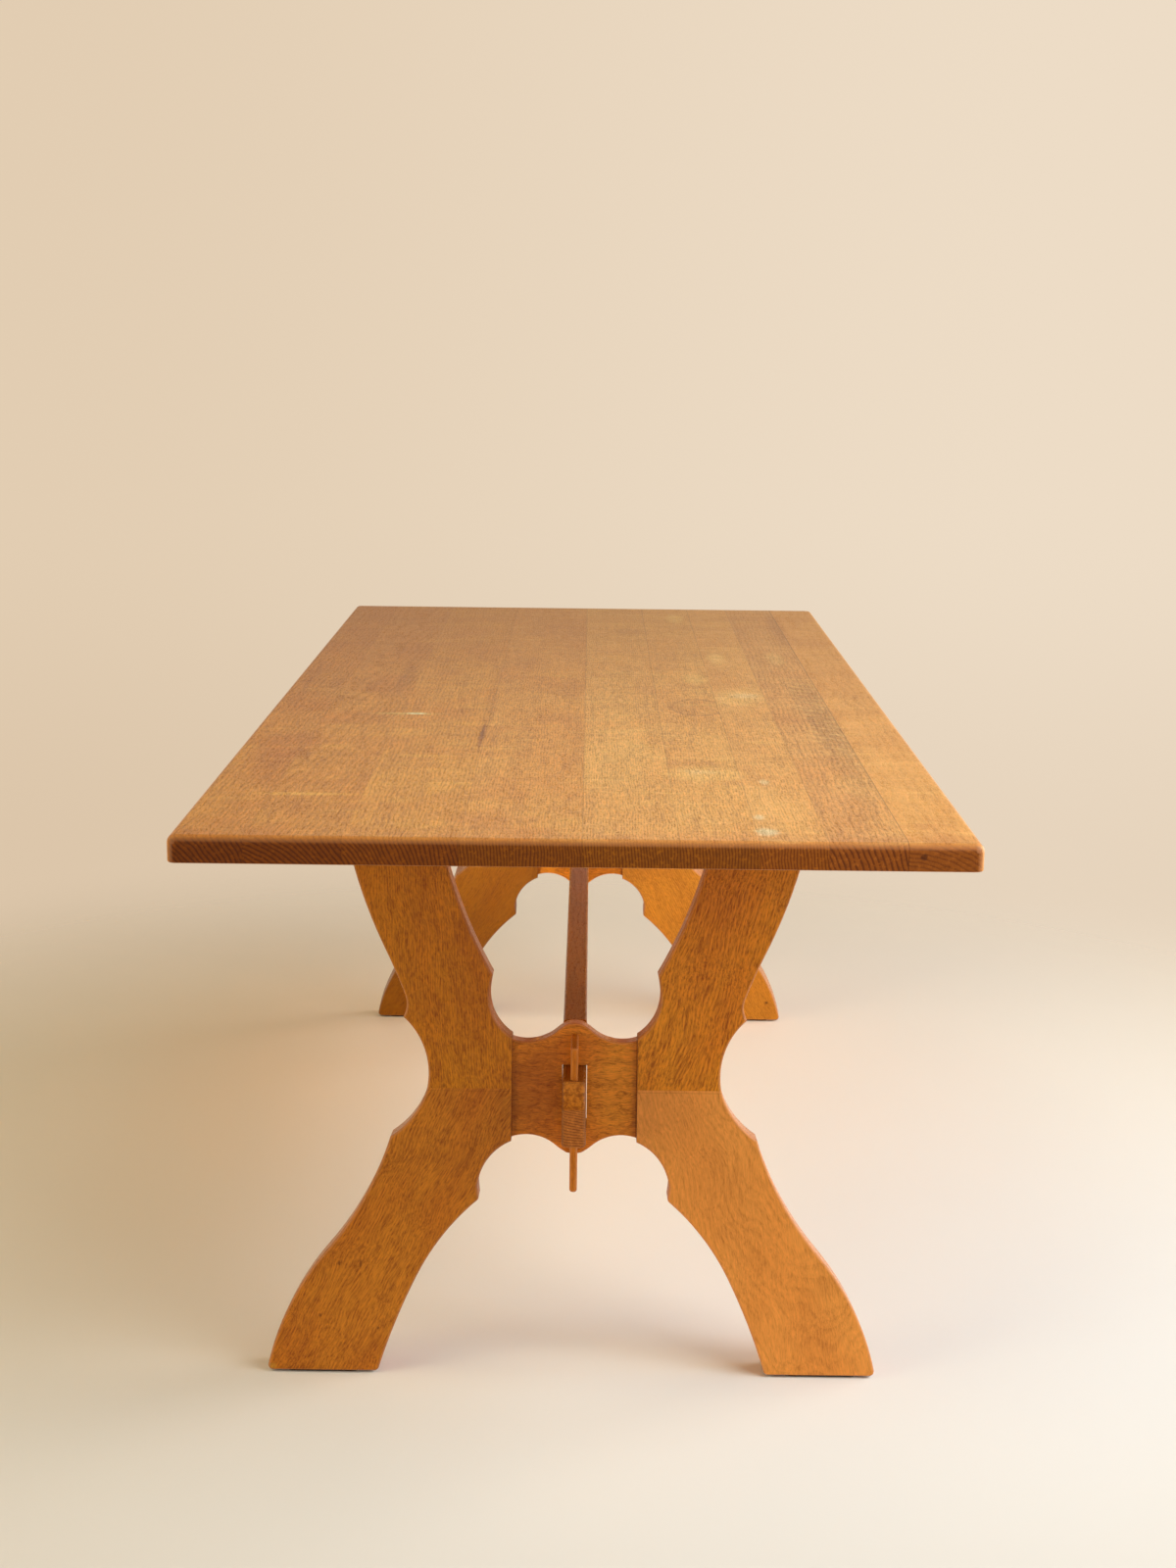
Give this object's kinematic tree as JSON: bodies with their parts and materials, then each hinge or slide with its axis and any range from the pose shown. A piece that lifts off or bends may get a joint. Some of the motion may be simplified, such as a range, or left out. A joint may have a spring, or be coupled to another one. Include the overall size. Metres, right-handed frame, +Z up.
{
  "type": "trestle dining table",
  "caption": "Oak dining table: a board top on raked, X-shaped scrolled trestles, joined by a stretcher rail with through tenons and tusk wedges.",
  "frame": {"origin": "on the floor, under the middle of the table top", "axes": "+Z up, +Y along the length of the top towards the rear trestle, +X across the top to the right when seen from the front end"},
  "size_m": [0.866, 1.9, 0.73],
  "materials": {
    "oak_top": "satin oil, rubbed and stained by use",
    "oak_trestle": "satin oil, golden brown",
    "oak_block": "satin oil, slightly redder",
    "oak_rail": "satin oil, red-brown",
    "oak_bearer": "plain, unpolished",
    "oak_wedge": "satin oil, dark at the end grain",
    "beech": "raw",
    "screw_steel": "plain",
    "felt": "matt"
  },
  "bodies": {
    "table": {"top_board_1": "oak_top", "top_board_2": "oak_top", "top_board_3": "oak_top", "top_board_4": "oak_top", "top_board_5": "oak_top", "top_board_6": "oak_top", "top_board_7": "oak_top", "top_board_8": "oak_top", "top_board_9": "oak_top", "front_left_leg": "oak_trestle", "front_left_arm": "oak_trestle", "front_right_leg": "oak_trestle", "front_right_arm": "oak_trestle", "front_left_felt_pad": "felt", "front_right_felt_pad": "felt", "front_centre_block": "oak_block", "front_bearer": "oak_bearer", "front_waist_dowels": "beech", "front_bearer_dowels": "beech", "front_block_dowels": "beech", "front_top_screws": "screw_steel", "front_top_washers": "screw_steel", "rear_left_leg": "oak_trestle", "rear_left_arm": "oak_trestle", "rear_right_leg": "oak_trestle", "rear_right_arm": "oak_trestle", "rear_left_felt_pad": "felt", "rear_right_felt_pad": "felt", "rear_centre_block": "oak_block", "rear_bearer": "oak_bearer", "rear_waist_dowels": "beech", "rear_bearer_dowels": "beech", "rear_block_dowels": "beech", "rear_top_screws": "screw_steel", "rear_top_washers": "screw_steel", "stretcher_rail": "oak_rail"},
    "front_wedge": {"front_tusk_wedge": "oak_wedge"},
    "rear_wedge": {"rear_tusk_wedge": "oak_wedge"}
  },
  "joints": [
    {"name": "front_wedge_slide", "type": "slide", "parent": "table", "child": "front_wedge", "axis": [0, 0.153, 0.9882], "range_m": [0, 0.142]},
    {"name": "rear_wedge_slide", "type": "slide", "parent": "table", "child": "rear_wedge", "axis": [0, -0.153, 0.9882], "range_m": [0, 0.142]}
  ]
}
